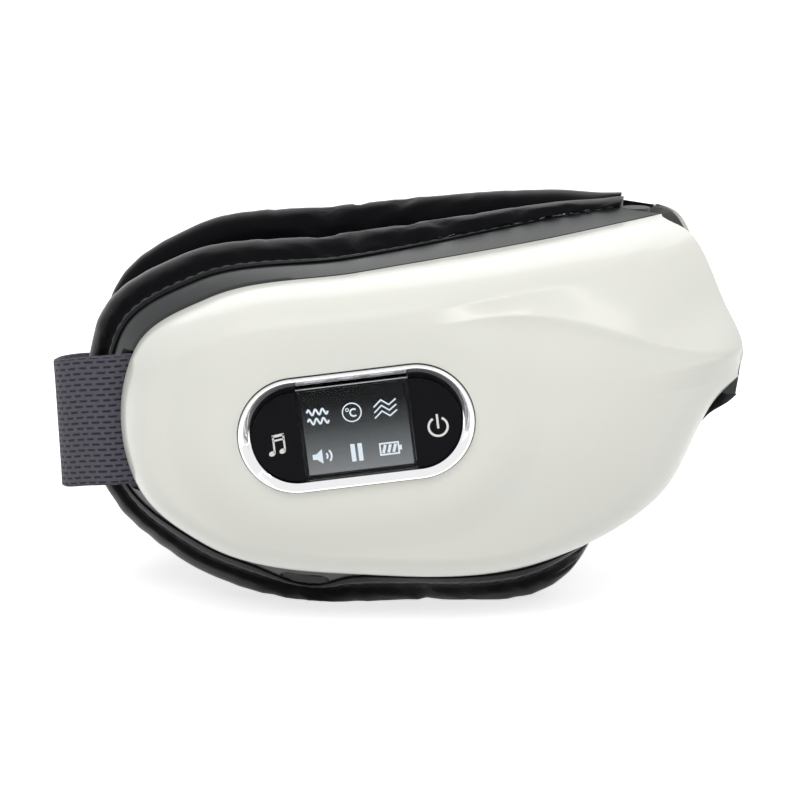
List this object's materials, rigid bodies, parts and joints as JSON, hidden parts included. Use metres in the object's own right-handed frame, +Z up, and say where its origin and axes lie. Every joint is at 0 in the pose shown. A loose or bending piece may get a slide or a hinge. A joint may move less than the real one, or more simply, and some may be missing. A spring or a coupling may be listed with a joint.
{
  "type": "eye massager mask",
  "caption": "Folding eye massager mask shown closed on its nose hinge: glossy white shell, grey housing, leather face cushion, elastic strap and an oval control panel.",
  "frame": {"origin": "on the table under the middle of the folded mask's bounding box", "axes": "+X from the temple strap to the nose hinge, +Y from the near right half to the far left half, +Z up"},
  "size_m": [0.1314, 0.1009, 0.0769],
  "materials": {
    "shell_white": "gloss",
    "housing_grey": "satin",
    "leather_black": "soft sheen",
    "pad_fabric": "knit",
    "film": "satin",
    "bag": "matt",
    "frame_black": "matt",
    "webbing": "woven",
    "fastener": "looped",
    "steel": "satin",
    "chrome": "polished",
    "board": "solder mask",
    "display": "gloss",
    "window": "gloss",
    "key_black": "gloss",
    "cell_blue": "wrapped",
    "valve_white": "satin"
  },
  "bodies": {
    "right_half": {"right_front_shell": "shell_white", "right_rear_housing": "housing_grey", "right_face_cushion": "leather_black", "right_eye_pad": "pad_fabric", "right_heat_film": "film", "right_air_bag": "bag", "right_chassis": "frame_black", "right_strap_bar": "steel", "right_strap": "webbing", "right_strap_patch": "fastener", "right_hinge_leaf": "housing_grey", "right_vibration_motor": "steel", "hinge_pin": "steel", "hinge_cap": "housing_grey", "panel_bezel": "chrome", "panel_tray": "frame_black", "panel_board": "board", "display_module": "display", "display_window": "window", "main_board": "board", "board_screws": "steel", "air_pump": "steel", "air_valve": "valve_white", "charge_socket": "steel", "charge_board": "board"},
    "left_half": {"left_front_shell": "shell_white", "left_rear_housing": "housing_grey", "left_face_cushion": "leather_black", "left_eye_pad": "pad_fabric", "left_heat_film": "film", "left_air_bag": "bag", "left_chassis": "frame_black", "left_strap_bar": "steel", "left_strap": "webbing", "left_strap_patch": "fastener", "left_hinge_leaf": "housing_grey", "left_vibration_motor": "steel", "battery": "cell_blue"},
    "music_button": {"music_button": "key_black"},
    "power_button": {"power_button": "key_black"}
  },
  "joints": [
    {"name": "fold_hinge", "type": "hinge", "parent": "right_half", "child": "left_half", "pos_m": [0.04688, 0, 0.06], "axis": [0, 0, -1], "range_deg": [0, 107]},
    {"name": "music_press", "type": "slide", "parent": "right_half", "child": "music_button", "axis": [0, 1, 0], "range_m": [0, 0.0006], "stiffness_N_per_m": 400},
    {"name": "power_press", "type": "slide", "parent": "right_half", "child": "power_button", "axis": [0, 1, 0], "range_m": [0, 0.0006], "stiffness_N_per_m": 400}
  ]
}
